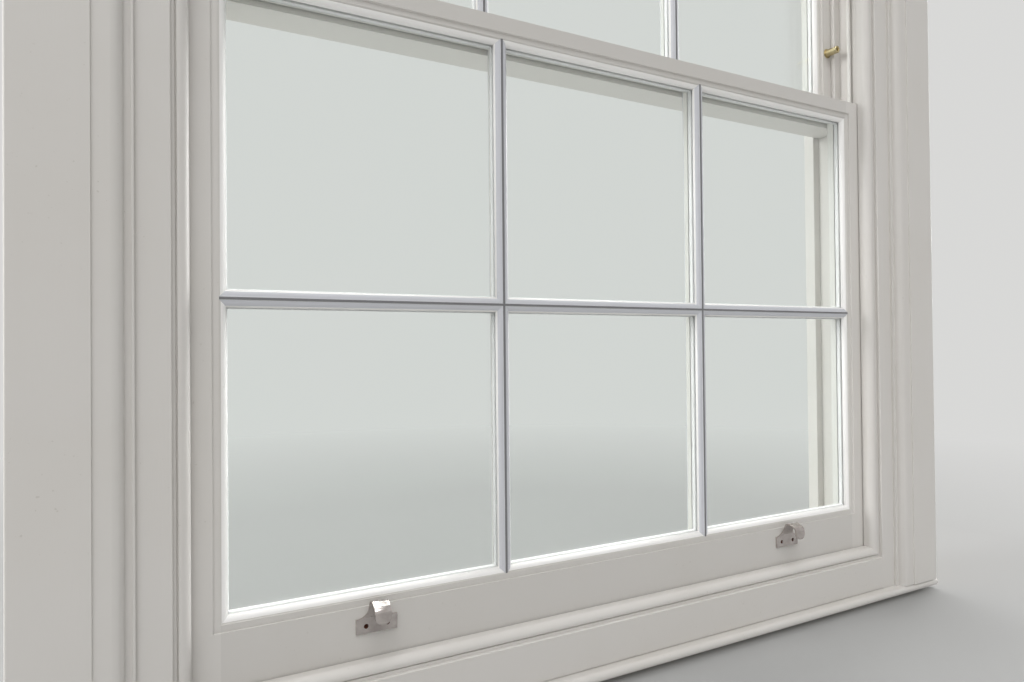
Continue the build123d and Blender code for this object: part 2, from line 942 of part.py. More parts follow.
def counterweights():
    wheels = [place * wheel() for place in pulley_places()]
    lower = weight(lower_middle, lower_weight_top - lower_weight_length, lower_weight_length)
    upper = weight(upper_middle, upper_weight_base, upper_weight_length)
    right = {
        "wheel_lower": wheels[0],
        "wheel_upper": wheels[1],
        "weight_lower": lower,
        "weight_upper": upper,
    }
    pieces = {name + "_right": shape for name, shape in right.items()}
    pieces.update({name + "_left": mirrored(shape) for name, shape in right.items()})
    return pieces


def main():
    os.makedirs("parts", exist_ok=True)
    for name, shape in {**box_frame(), **lower_sash(), **upper_sash(), **counterweights()}.items():
        export_step(shape, f"parts/{name}.step")


main()
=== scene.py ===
import json
import math
import bmesh
import bpy
from mathutils import Matrix, Vector
from mathutils.bvhtree import BVHTree


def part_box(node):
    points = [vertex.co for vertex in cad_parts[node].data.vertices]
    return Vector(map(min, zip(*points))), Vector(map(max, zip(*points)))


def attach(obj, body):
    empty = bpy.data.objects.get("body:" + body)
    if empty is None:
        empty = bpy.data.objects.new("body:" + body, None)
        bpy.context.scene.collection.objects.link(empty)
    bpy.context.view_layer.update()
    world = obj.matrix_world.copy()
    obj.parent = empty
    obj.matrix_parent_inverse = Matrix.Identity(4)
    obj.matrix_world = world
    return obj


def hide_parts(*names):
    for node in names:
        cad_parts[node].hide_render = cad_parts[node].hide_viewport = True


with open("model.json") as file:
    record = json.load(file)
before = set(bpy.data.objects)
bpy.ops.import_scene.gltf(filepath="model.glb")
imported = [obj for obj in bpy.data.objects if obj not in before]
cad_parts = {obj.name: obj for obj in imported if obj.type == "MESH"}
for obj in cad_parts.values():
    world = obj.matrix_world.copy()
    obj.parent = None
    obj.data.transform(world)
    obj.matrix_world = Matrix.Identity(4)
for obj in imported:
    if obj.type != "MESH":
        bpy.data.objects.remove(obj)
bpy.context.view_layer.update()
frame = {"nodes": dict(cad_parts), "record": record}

nodes = frame["nodes"]
bodies = frame["record"]["behaviour"]["bodies"]
bodyOfNode = {node: body for body, members in bodies.items() for node in members}
slotOfNode = {part["node"]: part["material_slot"] for part in frame["record"]["subparts"]}
print("frame loaded:", len(nodes), "nodes")


# node helpers shared by the materials

def newGroup(name, inputs, outputs):
    group = bpy.data.node_groups.new(name, "ShaderNodeTree")
    for label, kind, value in inputs:
        socket = group.interface.new_socket(name=label, in_out="INPUT", socket_type=kind)
        socket.default_value = value
    for label, kind in outputs:
        group.interface.new_socket(name=label, in_out="OUTPUT", socket_type=kind)
    return group, group.nodes.new("NodeGroupInput"), group.nodes.new("NodeGroupOutput")


def place(tree, kind, **settings):
    node = tree.nodes.new(kind)
    for key, value in settings.items():
        setattr(node, key, value)
    return node


def noise(tree, vector, scale, detail, roughness):
    node = place(tree, "ShaderNodeTexNoise")
    node.inputs["Scale"].default_value = scale
    node.inputs["Detail"].default_value = detail
    node.inputs["Roughness"].default_value = roughness
    tree.links.new(vector, node.inputs["Vector"])
    return node


def maths(tree, operation, first, second=None, clamp=False):
    node = place(tree, "ShaderNodeMath", operation=operation, use_clamp=clamp)
    for socket, value in zip(node.inputs, (first, second)):
        if value is None:
            continue
        if isinstance(value, (int, float)):
            socket.default_value = value
        else:
            tree.links.new(value, socket)
    return node.outputs[0]


def remap(tree, value, low, high, outLow=0.0, outHigh=1.0):
    node = place(tree, "ShaderNodeMapRange")
    limits = (("From Min", low), ("From Max", high), ("To Min", outLow), ("To Max", outHigh))
    for label, number in limits:
        node.inputs[label].default_value = number
    tree.links.new(value, node.inputs["Value"])
    return node.outputs["Result"]


def mixColours(tree, factor, first, second):
    node = place(tree, "ShaderNodeMix", data_type="RGBA")
    given = (("Factor", "VALUE", factor), ("A", "RGBA", first), ("B", "RGBA", second))
    for label, kind, source in given:
        socket = next(s for s in node.inputs if s.name == label and s.type == kind)
        tree.links.new(source, socket)
    return next(s for s in node.outputs if s.type == "RGBA")


def stretchedBy(group, given):
    node = place(group, "ShaderNodeVectorMath", operation="MULTIPLY")
    group.links.new(given.outputs["Vector"], node.inputs[0])
    group.links.new(given.outputs["Stretch"], node.inputs[1])
    return node.outputs[0]


strokeLook = {
    "fine": dict(scale=9.0, detail=4.0, roughness=0.6),
    "coarse": dict(scale=1.6, detail=2.0, roughness=0.5),
    "streaks": (0.35, 0.65),
}


# strokes left by the brush, long in one direction
def makeStrokeGroup():
    group, given, result = newGroup(
        "brushStrokes",
        [
            ("Vector", "NodeSocketVector", (0, 0, 0)),
            ("Stretch", "NodeSocketVector", (1, 1, 1)),
            ("Coarse Share", "NodeSocketFloat", 0.5),
        ],
        [("Height", "NodeSocketFloat"), ("Streaks", "NodeSocketFloat")],
    )
    stretched = stretchedBy(group, given)
    fine = noise(group, stretched, **strokeLook["fine"]).outputs["Fac"]
    coarse = noise(group, stretched, **strokeLook["coarse"]).outputs["Fac"]
    scaled = maths(group, "MULTIPLY", coarse, given.outputs["Coarse Share"])
    group.links.new(maths(group, "ADD", fine, scaled), result.inputs["Height"])
    group.links.new(remap(group, fine, *strokeLook["streaks"]), result.inputs["Streaks"])
    return group


ageLook = {
    "patches": dict(scale=7.0, detail=4.0, roughness=0.6),
    "patchRange": (0.4, 0.75),
    "specks": dict(scale=260.0, detail=1.0, roughness=0.5),
    "speckRange": (0.74, 0.8),
    "speckPlaces": (0.5, 0.6),
}


# slow shade changes and rare specks in a surface
def makeAgeGroup():
    group, given, result = newGroup(
        "agedTone",
        [
            ("Vector", "NodeSocketVector", (0, 0, 0)),
            ("Fresh", "NodeSocketColor", (0.8, 0.8, 0.8, 1)),
            ("Aged", "NodeSocketColor", (0.7, 0.68, 0.6, 1)),
            ("Speck", "NodeSocketColor", (0.4, 0.38, 0.34, 1)),
            ("Amount", "NodeSocketFloat", 0.5),
        ],
        [("Color", "NodeSocketColor")],
    )
    patches = noise(group, given.outputs["Vector"], **ageLook["patches"]).outputs["Fac"]
    soft = remap(group, patches, *ageLook["patchRange"])
    agedShare = maths(group, "MULTIPLY", soft, given.outputs["Amount"])
    toned = mixColours(group, agedShare, given.outputs["Fresh"], given.outputs["Aged"])
    specks = noise(group, given.outputs["Vector"], **ageLook["specks"]).outputs["Fac"]
    dots = remap(group, specks, *ageLook["speckRange"])
    rare = maths(group, "MULTIPLY", dots, remap(group, patches, *ageLook["speckPlaces"]))
    shown = maths(group, "MULTIPLY", rare, given.outputs["Amount"])
    group.links.new(mixColours(group, shown, toned, given.outputs["Speck"]), result.inputs["Color"])
    return group


grainLook = {
    "sway": dict(scale=1.3, detail=2.0, roughness=0.5),
    "swayRange": (0.3, 0.7, 0.5, 1.0),
    "rings": dict(scale=3.2, detail=1.0, roughness=0.5),
    "ringDistortion": 0.8,
    "ringCount": 9.0,
    "ringRange": (0.25, 1.0),
    "pores": dict(scale=30.0, detail=3.0, roughness=0.6),
}


# growth rings and pores of sawn softwood
def makeGrainGroup():
    group, given, result = newGroup(
        "sawnGrain",
        [
            ("Vector", "NodeSocketVector", (0, 0, 0)),
            ("Stretch", "NodeSocketVector", (1, 1, 1)),
            ("Early", "NodeSocketColor", (0.7, 0.5, 0.3, 1)),
            ("Late", "NodeSocketColor", (0.5, 0.3, 0.15, 1)),
        ],
        [("Color", "NodeSocketColor"), ("Height", "NodeSocketFloat")],
    )
    stretched = stretchedBy(group, given)
    sway = noise(group, stretched, **grainLook["sway"]).outputs["Fac"]
    rings = noise(group, stretched, **grainLook["rings"])
    rings.inputs["Distortion"].default_value = grainLook["ringDistortion"]
    lines = maths(group, "FRACT", maths(group, "MULTIPLY", rings.outputs["Fac"], grainLook["ringCount"]))
    pores = noise(group, stretched, **grainLook["pores"]).outputs["Fac"]
    mask = maths(group, "MULTIPLY", remap(group, lines, *grainLook["ringRange"]),
                 remap(group, sway, *grainLook["swayRange"]))
    toned = mixColours(group, mask, given.outputs["Early"], given.outputs["Late"])
    group.links.new(toned, result.inputs["Color"])
    group.links.new(maths(group, "ADD", mask, pores), result.inputs["Height"])
    return group


metalLook = {
    "blotches": dict(scale=45.0, detail=3.0, roughness=0.6),
    "wornRange": (0.35, 0.65),
    "grain": dict(scale=1.0, detail=4.0, roughness=0.65),
}


# blotches and fine pits of worked metal
def makeMetalGroup():
    group, given, result = newGroup(
        "handledMetal",
        [
            ("Vector", "NodeSocketVector", (0, 0, 0)),
            ("Bright", "NodeSocketColor", (0.6, 0.6, 0.6, 1)),
            ("Dull", "NodeSocketColor", (0.3, 0.3, 0.3, 1)),
            ("Grain Scale", "NodeSocketFloat", 90.0),
            ("Smooth", "NodeSocketFloat", 0.2),
            ("Rough", "NodeSocketFloat", 0.5),
        ],
        [("Color", "NodeSocketColor"), ("Roughness", "NodeSocketFloat"), ("Height", "NodeSocketFloat")],
    )
    blotches = noise(group, given.outputs["Vector"], **metalLook["blotches"]).outputs["Fac"]
    grain = noise(group, given.outputs["Vector"], **metalLook["grain"])
    group.links.new(given.outputs["Grain Scale"], grain.inputs["Scale"])
    worn = remap(group, blotches, *metalLook["wornRange"])
    toned = mixColours(group, worn, given.outputs["Bright"], given.outputs["Dull"])
    group.links.new(toned, result.inputs["Color"])
    spread = maths(group, "SUBTRACT", given.outputs["Rough"], given.outputs["Smooth"])
    lift = maths(group, "MULTIPLY", spread, worn)
    group.links.new(maths(group, "ADD", lift, given.outputs["Smooth"]), result.inputs["Roughness"])
    group.links.new(grain.outputs["Fac"], result.inputs["Height"])
    return group


strokeGroup = makeStrokeGroup()
ageGroup = makeAgeGroup()
grainGroup = makeGrainGroup()
metalGroup = makeMetalGroup()


def newMaterial(name):
    material = bpy.data.materials.new(name)
    material.use_nodes = True
    tree = material.node_tree
    shader = tree.nodes["Principled BSDF"]
    coordinates = place(tree, "ShaderNodeTexCoord")
    return material, tree, shader, coordinates.outputs["Object"]


def useGroup(tree, group, vector, **values):
    node = place(tree, "ShaderNodeGroup", node_tree=group)
    tree.links.new(vector, node.inputs["Vector"])
    for label, value in values.items():
        node.inputs[label.replace("_", " ")].default_value = value
    return node


def addBump(tree, shader, height, distance, strength=1.0):
    bump = place(tree, "ShaderNodeBump")
    bump.inputs["Distance"].default_value = distance
    bump.inputs["Strength"].default_value = strength
    tree.links.new(height, bump.inputs["Height"])
    tree.links.new(bump.outputs["Normal"], shader.inputs["Normal"])


def stretchAlong(axis, along, across):
    return tuple(along if name == axis else across for name in "XYZ")


paint = {
    "fresh": (0.665, 0.643, 0.614, 1),
    # painted shade: the sash rails are painted a little greyer than the stiles, as shade falls on them
    "rail": (0.622, 0.602, 0.574, 1),
    # painted highlight: the rounded edges beside the panes and the sides of the bars are painted near
    # white where light from the panes falls
    "highlitSticking": (0.9, 0.89, 0.872, 1),
    # painted light: the glazing bars are tinted bluish like sky light falling on them
    "bar": (0.6, 0.608, 0.645, 1),
    # painted shade: the narrow front flat of each glazing bar is painted dark as if in shadow
    "shadedFillet": (0.19, 0.19, 0.197, 1),
    "agedShare": (0.94, 0.93, 0.9, 1),
    "speck": (0.42, 0.39, 0.34, 1),
    "amount": 0.35,
    "roughness": (0.4, 0.52),
    "coat": 0.05,
    "coatRoughness": 0.25,
    "specular": 0.35,
    "relief": 0.00012,
    "reliefStrength": 0.55,
    "across": 130.0,
    "along": 5.0,
    "coarseStrokes": 0.8,
}


def paintMaterial(name, axis, shade):
    material, tree, shader, vector = newMaterial(name)
    fresh = paint[shade]
    aged = tuple(channel * share for channel, share in zip(fresh, paint["agedShare"]))
    stretch = stretchAlong(axis, paint["along"], paint["across"])
    strokes = useGroup(tree, strokeGroup, vector, Stretch=stretch, Coarse_Share=paint["coarseStrokes"])
    tone = useGroup(tree, ageGroup, vector, Fresh=fresh, Aged=aged,
                    Speck=paint["speck"], Amount=paint["amount"])
    tree.links.new(tone.outputs["Color"], shader.inputs["Base Color"])
    gloss = remap(tree, strokes.outputs["Streaks"], 0.0, 1.0, *paint["roughness"])
    tree.links.new(gloss, shader.inputs["Roughness"])
    shader.inputs["Coat Weight"].default_value = paint["coat"]
    shader.inputs["Coat Roughness"].default_value = paint["coatRoughness"]
    shader.inputs["Specular IOR Level"].default_value = paint["specular"]
    addBump(tree, shader, strokes.outputs["Height"], paint["relief"], paint["reliefStrength"])
    return material


bareWood = {
    "early": (0.62, 0.45, 0.27, 1),
    "late": (0.43, 0.27, 0.13, 1),
    "roughness": 0.72,
    "relief": 0.0003,
    "reliefStrength": 0.6,
    "across": 22.0,
    "along": 1.2,
}


def bareWoodMaterial(name, axis):
    material, tree, shader, vector = newMaterial(name)
    stretch = stretchAlong(axis, bareWood["along"], bareWood["across"])
    grain = useGroup(tree, grainGroup, vector, Stretch=stretch,
                     Early=bareWood["early"], Late=bareWood["late"])
    tree.links.new(grain.outputs["Color"], shader.inputs["Base Color"])
    shader.inputs["Roughness"].default_value = bareWood["roughness"]
    addBump(tree, shader, grain.outputs["Height"], bareWood["relief"], bareWood["reliefStrength"])
    return material


metals = {
    "satinNickel": {
        "bright": (0.62, 0.57, 0.545, 1), "dull": (0.43, 0.39, 0.37, 1),
        "smooth": 0.13, "rough": 0.27, "grain": 160.0, "metallic": 1.0, "relief": 0.00005,
    },
    "brass": {
        "bright": (0.68, 0.60, 0.38, 1), "dull": (0.46, 0.38, 0.21, 1),
        "smooth": 0.2, "rough": 0.36, "grain": 120.0, "metallic": 1.0, "relief": 0.00005,
    },
    "steelPin": {
        "bright": (0.5, 0.5, 0.5, 1), "dull": (0.36, 0.36, 0.36, 1),
        "smooth": 0.25, "rough": 0.45, "grain": 200.0, "metallic": 1.0, "relief": 0.00005,
    },
    "darkScrew": {
        "bright": (0.10, 0.035, 0.02, 1), "dull": (0.03, 0.012, 0.01, 1),
        "smooth": 0.45, "rough": 0.7, "grain": 300.0, "metallic": 1.0, "relief": 0.00005,
    },
    "castIron": {
        "bright": (0.12, 0.115, 0.11, 1), "dull": (0.07, 0.062, 0.055, 1),
        "smooth": 0.5, "rough": 0.75, "grain": 70.0, "metallic": 0.6, "relief": 0.0006,
    },
}


def metalMaterial(name):
    look = metals[name]
    material, tree, shader, vector = newMaterial(name)
    skin = useGroup(tree, metalGroup, vector, Bright=look["bright"], Dull=look["dull"],
                    Grain_Scale=look["grain"], Smooth=look["smooth"], Rough=look["rough"])
    tree.links.new(skin.outputs["Color"], shader.inputs["Base Color"])
    tree.links.new(skin.outputs["Roughness"], shader.inputs["Roughness"])
    shader.inputs["Metallic"].default_value = look["metallic"]
    addBump(tree, shader, skin.outputs["Height"], look["relief"])
    return material


glassLook = {
    "tint": (0.965, 0.985, 0.975, 1),
    "dusty": (0.95, 0.98, 0.965, 1),
    "speck": (0.9, 0.92, 0.9, 1),
    "amount": 0.3,
    "ior": 1.45,
    "shadow": 0.98,  # share of the light that a pane lets through
    "wave": dict(scale=6.0, detail=1.0, roughness=0.4),
    "waveHeight": 0.00002,
    "waveStrength": 0.3,
}


def glassMaterial(name):
    material, tree, shader, vector = newMaterial(name)
    tone = useGroup(tree, ageGroup, vector, Fresh=glassLook["tint"], Aged=glassLook["dusty"],
                    Speck=glassLook["speck"], Amount=glassLook["amount"])
    tree.links.new(tone.outputs["Color"], shader.inputs["Base Color"])
    shader.inputs["Roughness"].default_value = 0.0
    shader.inputs["IOR"].default_value = glassLook["ior"]
    shader.inputs["Transmission Weight"].default_value = 1.0
    rays = place(tree, "ShaderNodeLightPath")
    dimmed = maths(tree, "MULTIPLY", rays.outputs["Is Shadow Ray"], glassLook["shadow"])
    tree.links.new(maths(tree, "SUBTRACT", 1.0, dimmed), shader.inputs["Alpha"])
    wave = noise(tree, vector, **glassLook["wave"]).outputs["Fac"]
    addBump(tree, shader, wave, glassLook["waveHeight"], glassLook["waveStrength"])
    return material


fillings = {
    "puttyPaint": {
        "fresh": (0.74, 0.73, 0.70, 1), "aged": (0.70, 0.68, 0.62, 1),
        "roughness": 0.5, "scale": 35.0, "relief": 0.0002, "scatter": 0.0,
    },
    "spacerBar": {
        "fresh": (0.86, 0.86, 0.85, 1), "aged": (0.80, 0.80, 0.79, 1),
        "roughness": 0.55, "scale": 400.0, "relief": 0.00008, "scatter": 0.006,
    },
    "braid": {
        "fresh": (0.80, 0.79, 0.76, 1), "aged": (0.68, 0.66, 0.61, 1),
        "roughness": 0.9, "scale": 900.0, "relief": 0.00015, "scatter": 0.0,
    },
}
fillingWear = {
    "amount": 0.6,
    "grain": dict(detail=3.0, roughness=0.6),
    "grainRange": (0.3, 0.7),
    "glossSpread": 0.06,
}


def fillingMaterial(name):
    look = fillings[name]
    material, tree, shader, vector = newMaterial(name)
    tone = useGroup(tree, ageGroup, vector, Fresh=look["fresh"], Aged=look["aged"],
                    Speck=look["aged"], Amount=fillingWear["amount"])
    tree.links.new(tone.outputs["Color"], shader.inputs["Base Color"])
    grain = noise(tree, vector, scale=look["scale"], **fillingWear["grain"]).outputs["Fac"]
    spread = fillingWear["glossSpread"]
    gloss = remap(tree, grain, *fillingWear["grainRange"],
                  look["roughness"] - spread, look["roughness"] + spread)
    tree.links.new(gloss, shader.inputs["Roughness"])
    addBump(tree, shader, grain, look["relief"])
    if look["scatter"]:
        shader.inputs["Subsurface Weight"].default_value = 1.0
        shader.inputs["Subsurface Radius"].default_value = (1.0, 1.0, 1.0)
        shader.inputs["Subsurface Scale"].default_value = look["scatter"]
    return material


# Upright materials have their strokes along Z, Level ones along X
paintUpright = paintMaterial("paintUpright", "Z", "fresh")
paintLevel = paintMaterial("paintLevel", "X", "fresh")
# sash rails with painted shade
railShadeLevel = paintMaterial("railShadeLevel", "X", "rail")
# painted highlight on the rounded edges beside the panes and on the bar sides
highlitStickingUpright = paintMaterial("highlitStickingUpright", "Z", "highlitSticking")
highlitStickingLevel = paintMaterial("highlitStickingLevel", "X", "highlitSticking")
# glazing bars with painted bluish sky light
skyTintedBarUpright = paintMaterial("skyTintedBarUpright", "Z", "bar")
skyTintedBarLevel = paintMaterial("skyTintedBarLevel", "X", "bar")
# painted shade on the front flats of the glazing bars
shadedFilletUpright = paintMaterial("shadedFilletUpright", "Z", "shadedFillet")
shadedFilletLevel = paintMaterial("shadedFilletLevel", "X", "shadedFillet")
woodUpright = bareWoodMaterial("woodUpright", "Z")
woodLevel = bareWoodMaterial("woodLevel", "X")
windowGlass = glassMaterial("windowGlass")
puttyPaint = fillingMaterial("puttyPaint")
spacerBar = fillingMaterial("spacerBar")
braid = fillingMaterial("braid")
satinNickel = metalMaterial("satinNickel")
brass = metalMaterial("brass")
steelPin = metalMaterial("steelPin")
darkScrew = metalMaterial("darkScrew")
castIron = metalMaterial("castIron")
print("materials made")


# softened copies of CAD nodes: every free arris gets a small round, and joints stay closed
rounding = {
    "weld": 2e-6,
    "flatAngle": 0.6,
    "leastAngle": 22,
    "sharpAngle": 30,
    "segments": 2,
    "profile": 0.5,
    "touching": 0.00005,  # a neighbour this near makes an edge a joint
    "curvedWidth": 0.004,  # wider faces are flats
}

boxes = {node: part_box(node) for node in nodes}
surfaces = {}
for nodeName, item in nodes.items():
    points = [vertex.co.copy() for vertex in item.data.vertices]
    surfaces[nodeName] = BVHTree.FromPolygons(points, [tuple(p.vertices) for p in item.data.polygons])


def joinedMesh(node):
    mesh = bmesh.new()
    mesh.from_mesh(nodes[node].data)
    bmesh.ops.remove_doubles(mesh, verts=mesh.verts, dist=rounding["weld"])
    bmesh.ops.dissolve_limit(mesh, angle_limit=math.radians(rounding["flatAngle"]),
                             use_dissolve_boundaries=False, verts=mesh.verts, edges=mesh.edges)
    return mesh


def boxesTouch(first, second):
    (low, high), (otherLow, otherHigh) = boxes[first], boxes[second]
    reach = rounding["touching"]
    return all(otherLow[i] < high[i] + reach and otherHigh[i] > low[i] - reach for i in range(3))


def neighbours(node):
    return [surfaces[other] for other in nodes
            if other != node and bodyOfNode[other] == bodyOfNode[node]
            and slotOfNode[other] == slotOfNode[node] and boxesTouch(node, other)]


def freeEdges(mesh, node):
    beside = neighbours(node)
    leastAngle = math.radians(rounding["leastAngle"])
    chosen = []
    for edge in mesh.edges:
        if len(edge.link_faces) != 2 or edge.calc_face_angle(0) < leastAngle:
            continue
        middle = (edge.verts[0].co + edge.verts[1].co) / 2
        if not any(surface.find_nearest(middle, rounding["touching"])[0] for surface in beside):
            chosen.append(edge)
    return chosen


def isNarrow(face, limit):
    return face.calc_area() < limit * max(edge.calc_length() for edge in face.edges)


# others lists further materials, each with the test that picks its faces
def softened(node, radius, material, others=(), ending="_painted", curvedWidth=rounding["curvedWidth"]):
    mesh = joinedMesh(node)
    bmesh.ops.bevel(mesh, geom=freeEdges(mesh, node), offset=radius, segments=rounding["segments"],
                    profile=rounding["profile"], affect="EDGES", clamp_overlap=True)
    for index, (_, isPicked) in enumerate(others, 1):
        for face in mesh.faces:
            if isPicked(face):
                face.material_index = index
    smoothFlags = [isNarrow(face, curvedWidth) for face in mesh.faces]
    data = bpy.data.meshes.new(node + ending)
    mesh.to_mesh(data)
    mesh.free()
    data.materials.append(material)
    for other, _ in others:
        data.materials.append(other)
    data.set_sharp_from_angle(angle=math.radians(rounding["sharpAngle"]))
    data.polygons.foreach_set("use_smooth", smoothFlags)  # wide flats keep their own normal
    piece = bpy.data.objects.new(data.name, data)
    bpy.context.scene.collection.objects.link(piece)
    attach(piece, bodyOfNode[node])
    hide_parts(node)


timber = {
    "sashRound": 0.0004,
    "filletRound": 0.0003,
    "trimRound": 0.0006,
    "boardRound": 0.0008,
    "stickingDepth": (0.0032, 0.0092),  # behind the front of the sash
    "stickingTurn": (-0.985, -0.02),  # a face's normal along Y
    "barSideTurn": (-0.66, -0.02),
    "filletDepth": 0.0002,
    "backDepth": 0.00001,
    "facing": 0.9,
}
roomPlane = boxes["inner_lining_left"][1].y
barPlanes = [boxes[node][0].y for node in ("lower_cross_bars", "upper_bars")]


# the rounded edge beside the panes, which gets a painted highlight
def stickingOf(sash):
    front = boxes[sash + "_stile_left"][0].y
    near, far = timber["stickingDepth"]
    least, most = timber["stickingTurn"]

    def isSticking(face):
        return least < face.normal.y < most and near < face.calc_center_median().y - front < far

    return isSticking


# the sides of a glazing bar, which get the painted highlight
def barSide(face):
    least, most = timber["barSideTurn"]
    return least < face.normal.y < most


# the narrow flat that runs along the front of a glazing bar, which gets painted shade
def barFillet(face):
    depth = face.calc_center_median().y
    nearest = min(barPlanes, key=lambda plane: abs(plane - depth))
    return face.normal.y < -timber["facing"] and depth < nearest + timber["filletDepth"]


# faces inside the box frame stay bare wood
def hiddenBack(face):
    depth = face.calc_center_median().y
    return face.normal.y > timber["facing"] and depth > roomPlane - timber["backDepth"]


def boxInside(face):
    return face.normal.x * math.copysign(1, face.calc_center_median().x) > timber["facing"]


def headTop(face):
    return face.normal.z > timber["facing"]


# stiles and rails, with a painted highlight on the rounded edges and painted shade on the rails
for sash, rails in (("lower", ("bottom", "meeting")), ("upper", ("meeting", "top"))):
    isSticking = stickingOf(sash)
    for side in ("left", "right"):
        softened(f"{sash}_stile_{side}", timber["sashRound"], paintUpright,
                 [(highlitStickingUpright, isSticking)])
    for rail in rails:
        softened(f"{sash}_{rail}_rail", timber["sashRound"], railShadeLevel, [(highlitStickingLevel, isSticking)])
softened("lower_cross_bars", timber["filletRound"], skyTintedBarLevel,
         [(shadedFilletLevel, barFillet), (highlitStickingLevel, barSide)])
for bars in ("lower_upright_bars", "upper_bars"):
    softened(bars, timber["filletRound"], skyTintedBarUpright,
             [(shadedFilletUpright, barFillet), (highlitStickingUpright, barSide)])
for side in ("left", "right"):
    for strip in ("staff_bead_", "cover_mould_", "parting_bead_"):
        softened(strip + side, timber["trimRound"], paintUpright)
    softened("inner_lining_" + side, timber["boardRound"], paintUpright, [(woodUpright, hiddenBack)])
    softened("outer_lining_" + side, timber["boardRound"], paintUpright)
    softened("pulley_stile_" + side, timber["trimRound"], paintUpright, [(woodUpright, boxInside)])
for strip in ("staff_bead_head", "staff_bead_sill", "cover_mould_head", "parting_bead_head"):
    softened(strip, timber["trimRound"], paintLevel)
for board in ("apron", "nosing", "sill"):
    softened(board, timber["trimRound"], paintLevel)
softened("inner_lining_head", timber["boardRound"], paintLevel, [(woodLevel, hiddenBack)])
softened("outer_lining_head", timber["boardRound"], paintLevel)
softened("head_board", timber["trimRound"], paintLevel, [(woodLevel, headTop)])
softened("pocket_pieces", timber["sashRound"], paintUpright, [(woodUpright, boxInside)])
softened("back_linings", timber["boardRound"], woodUpright)
softened("parting_slips", timber["sashRound"], woodUpright)
print("timber softened")


# glazing, cords and small fixings keep their CAD shape
def dress(node, material):
    data = nodes[node].data
    data.materials.clear()
    data.materials.append(material)
    for polygon in data.polygons:
        polygon.material_index = 0


for sash in ("lower", "upper"):
    dress(sash + "_glass", windowGlass)
    dress(sash + "_spacers", spacerBar)
    dress(sash + "_putty", puttyPaint)
dress("lift_screws", darkScrew)
dress("pulley_screws", brass)
dress("pulley_pins", steelPin)
dress("sash_cords", braid)

metalwork = {
    "fittingRound": 0.0003,
    "weightRound": 0.0015,
    "turnedWidth": 0.01,  # wheels and weights have wider curved faces
}
for node in ("hook_lift_left", "hook_lift_right"):
    softened(node, metalwork["fittingRound"], satinNickel, ending="_metal")
for node in ("stop_receivers", "stop_studs", "pulley_cases"):
    softened(node, metalwork["fittingRound"], brass, ending="_metal")
for sash in ("lower", "upper"):
    for side in ("left", "right"):
        softened(f"wheel_{sash}_{side}", metalwork["fittingRound"], brass, ending="_metal",
                 curvedWidth=metalwork["turnedWidth"])
        softened(f"weight_{sash}_{side}", metalwork["weightRound"], castIron, ending="_cast",
                 curvedWidth=metalwork["turnedWidth"])
print("metalwork done")


# stage, light and camera; the front faces -Y
lightLook = {
    "edge": (-0.1, 0.2),  # daylight begins between these Y
    "street": 0.2,
    "sky": 0.12,
    "room": 0.2,
    "roomLean": 0.35,  # more light from the left
    "furniture": dict(scale=1.7, detail=2.0, roughness=0.5),
    "furnitureRange": (0.35, 0.65),
    "furnitureShare": (0.6, 1.4),
    "daylight": (1.0, 0.995, 0.985, 1),
}
sunTable = (
    # name, towards the lamp, strength, softness in degrees
    ("streetLeft", (-1.0, 0.2, 0.25), 0.52, 22),
    ("streetRight", (1.0, 0.27, 0.25), 0.75, 26),
    ("streetTop", (0.1, 0.2, 1.0), 0.58, 34),
    ("roomTop", (-0.25, -0.7, 1.0), 0.47, 44),
    ("roomLeft", (-1.0, -0.3, 0.3), 0.12, 50),
)
stageLook = {
    "colour": (0.69, 0.69, 0.68, 1),
    "floorSize": 14.0,
    "floorShare": 0.5,  # the floor's paint as a share of the backdrop's colour
    "floorRoughness": 0.9,
    "floorSpecular": 0.05,
    "grain": dict(scale=300.0, detail=3.0, roughness=0.6),
    "grainHeight": 0.0002,
    "grainStrength": 0.3,
    "fade": (1.1, 2.8),  # the floor turns into the backdrop between these distances
    "glowPlaces": (0.1, 0.5),  # light thrown back by the floor grows between these Y
    "roomGlow": 0.23,
    "streetGlow": 0.5,
    "dimPlaces": (0.5, 1.2),  # and fades between these X
    "dimShare": 0.3,
}


def seenDirectly(tree):
    rays = place(tree, "ShaderNodeLightPath")
    through = maths(tree, "ADD", rays.outputs["Is Camera Ray"], rays.outputs["Is Transmission Ray"])
    return maths(tree, "ADD", through, rays.outputs["Is Glossy Ray"], clamp=True)


def splitAxes(tree, vector):
    split = place(tree, "ShaderNodeSeparateXYZ")
    tree.links.new(vector, split.inputs[0])
    return split.outputs


